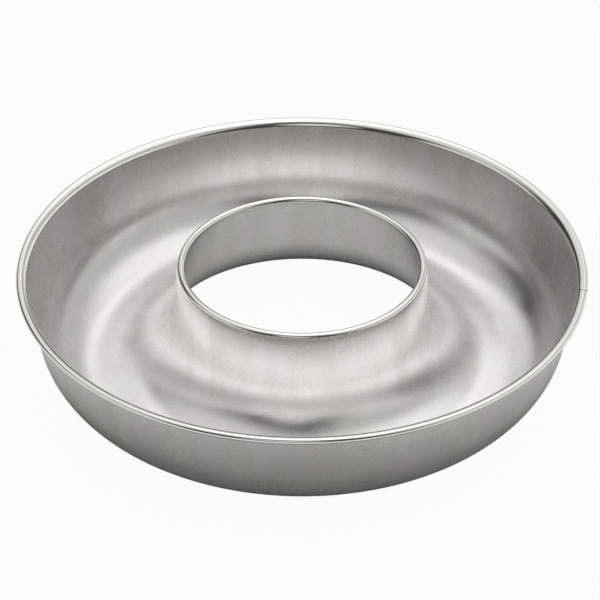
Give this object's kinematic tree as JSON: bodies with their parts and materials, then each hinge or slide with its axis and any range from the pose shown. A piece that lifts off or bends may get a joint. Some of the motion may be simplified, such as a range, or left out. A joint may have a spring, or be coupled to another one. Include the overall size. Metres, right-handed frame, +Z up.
{
  "type": "savarin mould",
  "caption": "Ring-shaped tinplate baking mould with a round-bottomed trough, a large open middle, and wired rolls on its rim and round its hole.",
  "frame": {"origin": "centre of the ring, on the surface that the mould stands on", "axes": "+Z up along the ring's axis, open side up; -Y towards the viewer of the picture, +X to the right. The ring is round, so X and Y are set only by the joint of the rim wire, about 10 degrees towards -Y from +X."},
  "size_m": [0.24, 0.24, 0.0475],
  "materials": {
    "tinplate": "satin tin coating with faint drawing and spinning marks",
    "steel_wire": "bright drawn steel wire"
  },
  "bodies": {
    "root": {"ring_shell": "tinplate", "rim_wire": "steel_wire", "hole_rim_wire": "steel_wire"}
  },
  "joints": []
}
